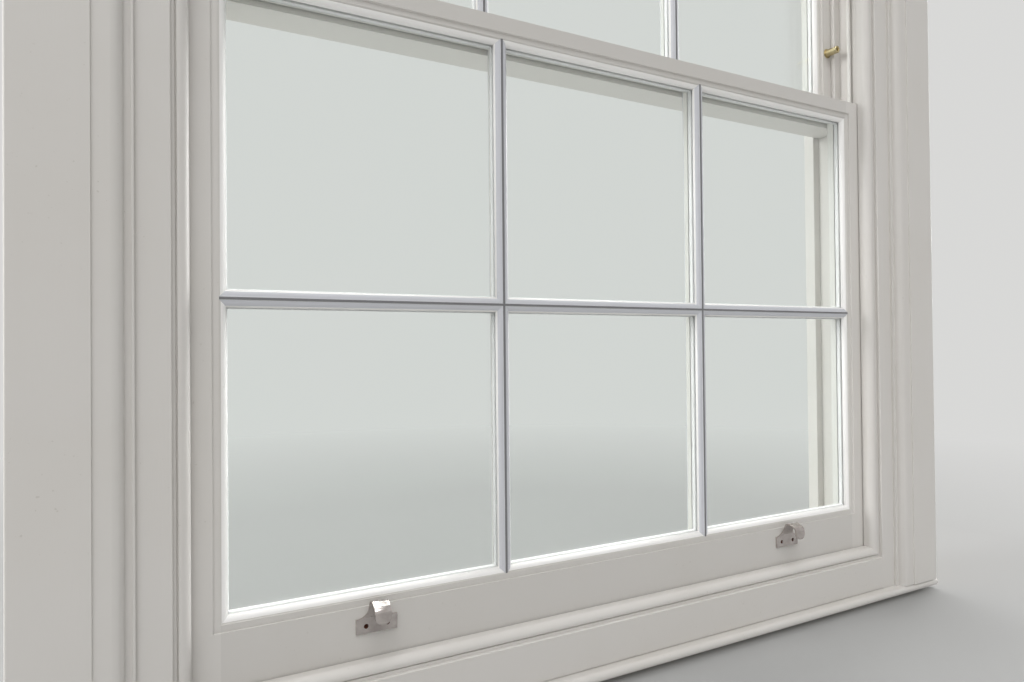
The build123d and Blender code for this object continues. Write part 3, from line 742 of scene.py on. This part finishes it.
def makeWorld():
    world = bpy.data.worlds.new("studio")
    bpy.context.scene.world = world
    world.use_nodes = True
    tree = world.node_tree
    tree.nodes.clear()
    vector = place(tree, "ShaderNodeTexCoord").outputs["Generated"]
    axes = splitAxes(tree, vector)
    street, room, lean = lightLook["street"], lightLook["room"], lightLook["roomLean"]
    outdoors = remap(tree, axes["Y"], *lightLook["edge"])
    skyward = remap(tree, axes["Z"], 0.0, 1.0, street, street + lightLook["sky"])
    daylight = maths(tree, "MULTIPLY", outdoors, skyward)
    furniture = noise(tree, vector, **lightLook["furniture"]).outputs["Fac"]
    low, high = lightLook["furnitureShare"]
    patchy = remap(tree, furniture, *lightLook["furnitureRange"], low * room, high * room)
    leaning = remap(tree, axes["X"], -1.0, 1.0, 1.0 + lean, 1.0 - lean)
    indoors = maths(tree, "MULTIPLY", patchy, leaning)
    lamp = place(tree, "ShaderNodeBackground")
    lamp.inputs["Color"].default_value = lightLook["daylight"]
    tree.links.new(maths(tree, "ADD", daylight, indoors), lamp.inputs["Strength"])
    seen = place(tree, "ShaderNodeBackground")
    seen.inputs["Color"].default_value = stageLook["colour"]
    mixer = place(tree, "ShaderNodeMixShader")
    tree.links.new(seenDirectly(tree), mixer.inputs["Fac"])
    tree.links.new(lamp.outputs[0], mixer.inputs[1])
    tree.links.new(seen.outputs[0], mixer.inputs[2])
    out = place(tree, "ShaderNodeOutputWorld")
    tree.links.new(mixer.outputs[0], out.inputs["Surface"])


def makeLights():
    for name, towards, strength, softness in sunTable:
        lamp = bpy.data.lights.new(name, "SUN")
        lamp.energy = strength * math.pi
        lamp.angle = math.radians(softness)
        item = bpy.data.objects.new(name, lamp)
        item.rotation_euler = Vector(towards).to_track_quat("Z", "Y").to_euler()
        bpy.context.scene.collection.objects.link(item)


def floorMaterial():
    material, tree, shader, vector = newMaterial("floorPaper")
    red, green, blue, _ = (stageLook["floorShare"] * channel for channel in stageLook["colour"])
    shader.inputs["Base Color"].default_value = (red, green, blue, 1)
    shader.inputs["Roughness"].default_value = stageLook["floorRoughness"]
    shader.inputs["Specular IOR Level"].default_value = stageLook["floorSpecular"]
    grain = noise(tree, vector, **stageLook["grain"]).outputs["Fac"]
    addBump(tree, shader, grain, stageLook["grainHeight"], stageLook["grainStrength"])
    distance = place(tree, "ShaderNodeVectorMath", operation="LENGTH")
    tree.links.new(vector, distance.inputs[0])
    backdrop = place(tree, "ShaderNodeEmission")
    backdrop.inputs["Color"].default_value = stageLook["colour"]
    shown = place(tree, "ShaderNodeMixShader")
    tree.links.new(remap(tree, distance.outputs["Value"], *stageLook["fade"]), shown.inputs["Fac"])
    tree.links.new(shader.outputs[0], shown.inputs[1])
    tree.links.new(backdrop.outputs[0], shown.inputs[2])
    axes = splitAxes(tree, vector)
    glow = remap(tree, axes["Y"], *stageLook["glowPlaces"],
                 stageLook["roomGlow"], stageLook["streetGlow"])
    aside = remap(tree, axes["X"], *stageLook["dimPlaces"], 1.0, stageLook["dimShare"])
    bounce = place(tree, "ShaderNodeEmission")
    tree.links.new(maths(tree, "MULTIPLY", glow, aside), bounce.inputs["Strength"])
    lit = place(tree, "ShaderNodeAddShader")
    tree.links.new(shown.outputs[0], lit.inputs[0])
    tree.links.new(bounce.outputs[0], lit.inputs[1])
    chooser = place(tree, "ShaderNodeMixShader")
    tree.links.new(seenDirectly(tree), chooser.inputs["Fac"])
    tree.links.new(lit.outputs[0], chooser.inputs[1])
    tree.links.new(shown.outputs[0], chooser.inputs[2])
    tree.links.new(chooser.outputs[0], tree.nodes["Material Output"].inputs["Surface"])
    return material


def makeFloor():
    half = stageLook["floorSize"] / 2
    corners = [(-half, -half, 0), (half, -half, 0), (half, half, 0), (-half, half, 0)]
    data = bpy.data.meshes.new("floor")
    data.from_pydata(corners, [], [(0, 1, 2, 3)])
    data.materials.append(floorMaterial())
    floor = bpy.data.objects.new("floor", data)
    bpy.context.scene.collection.objects.link(floor)


viewpoint = {
    "place": (-0.5423, -0.776, 0.419),
    "yaw": 28.12,
    "pitch": 0.59,
    "roll": -0.54,
    "lens": 24.07,
    "sensor": 36.0,
    "nearest": 0.01,
}


def makeCamera():
    yaw, pitch, roll = (math.radians(viewpoint[key]) for key in ("yaw", "pitch", "roll"))
    ahead = Vector((math.sin(yaw), math.cos(yaw), 0))
    right = Vector((math.cos(yaw), -math.sin(yaw), 0))
    up = Vector((0, 0, 1))
    forward = ahead * math.cos(pitch) + up * math.sin(pitch)
    top = up * math.cos(pitch) - ahead * math.sin(pitch)
    sideways = right * math.cos(roll) + top * math.sin(roll)
    crown = top * math.cos(roll) - right * math.sin(roll)
    data = bpy.data.cameras.new("camera")
    data.sensor_fit = "HORIZONTAL"
    data.sensor_width = viewpoint["sensor"]
    data.lens = viewpoint["lens"]
    data.clip_start = viewpoint["nearest"]
    camera = bpy.data.objects.new("camera", data)
    turn = Matrix((sideways, crown, -forward)).transposed().to_4x4()
    camera.matrix_world = Matrix.Translation(viewpoint["place"]) @ turn
    bpy.context.scene.collection.objects.link(camera)
    bpy.context.scene.camera = camera


makeWorld()
makeLights()
makeFloor()
makeCamera()
bpy.context.scene.view_settings.view_transform = "Standard"
print("stage, light and camera set")
